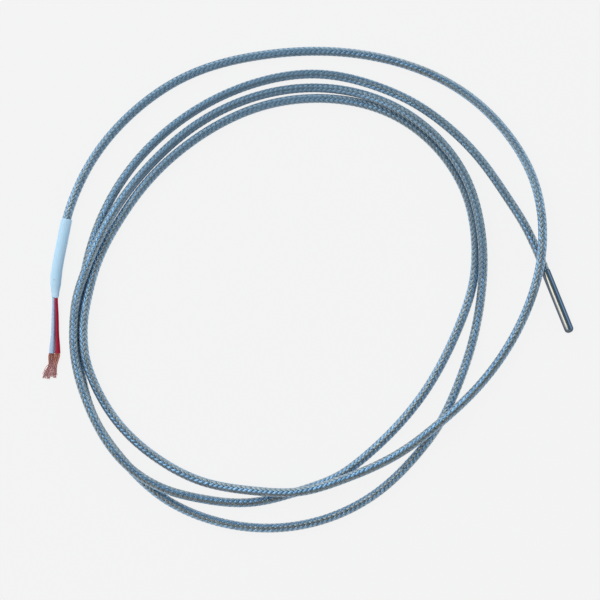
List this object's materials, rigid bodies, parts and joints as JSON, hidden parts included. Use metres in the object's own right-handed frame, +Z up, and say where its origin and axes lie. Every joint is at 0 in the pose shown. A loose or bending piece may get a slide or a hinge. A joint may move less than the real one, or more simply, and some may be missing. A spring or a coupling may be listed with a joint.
{
  "type": "rtd temperature probe",
  "caption": "Slim closed-end metal sheath on a long metal-braided cable, with a pale shrink sleeve and a white and a red lead stripped to bare copper at the far end.",
  "frame": {"origin": "under the middle of the metal sheath, on the surface that the probe and its cable lie on", "axes": "+X along the sheath towards its closed tip, +Z up; the cable's loops lie on the surface towards -X and -Y"},
  "size_m": [0.2119, 0.2386, 0.0086],
  "materials": {
    "steel": "polished",
    "braid": "braided fine wire",
    "shrink_sleeve": "satin",
    "white_insulation": "satin",
    "red_insulation": "satin",
    "copper": "bare drawn wire",
    "ceramic": "fired",
    "glass_bead": "glazed",
    "wire": "drawn",
    "cement": "matte",
    "ferrule": "tinned",
    "insulator": "satin",
    "potting": "cast"
  },
  "bodies": {
    "root": {"sheath": "steel", "tip_cement": "cement", "element_chip": "ceramic", "element_bead": "glass_bead", "element_wire_white": "wire", "element_wire_red": "wire", "ferrule_white": "ferrule", "ferrule_red": "ferrule", "splice_sleeve_white": "insulator", "splice_sleeve_red": "insulator", "rear_potting": "potting", "front_lead_white": "white_insulation", "front_lead_red": "red_insulation", "front_core_white": "copper", "front_core_red": "copper", "cable": "braid", "shrink_sleeve": "shrink_sleeve", "lead_white": "white_insulation", "lead_red": "red_insulation", "strand_white_1": "copper", "strand_white_2": "copper", "strand_white_3": "copper", "strand_white_4": "copper", "strand_white_5": "copper", "strand_white_6": "copper", "strand_white_7": "copper", "strand_red_1": "copper", "strand_red_2": "copper", "strand_red_3": "copper", "strand_red_4": "copper", "strand_red_5": "copper", "strand_red_6": "copper", "strand_red_7": "copper"}
  },
  "joints": []
}
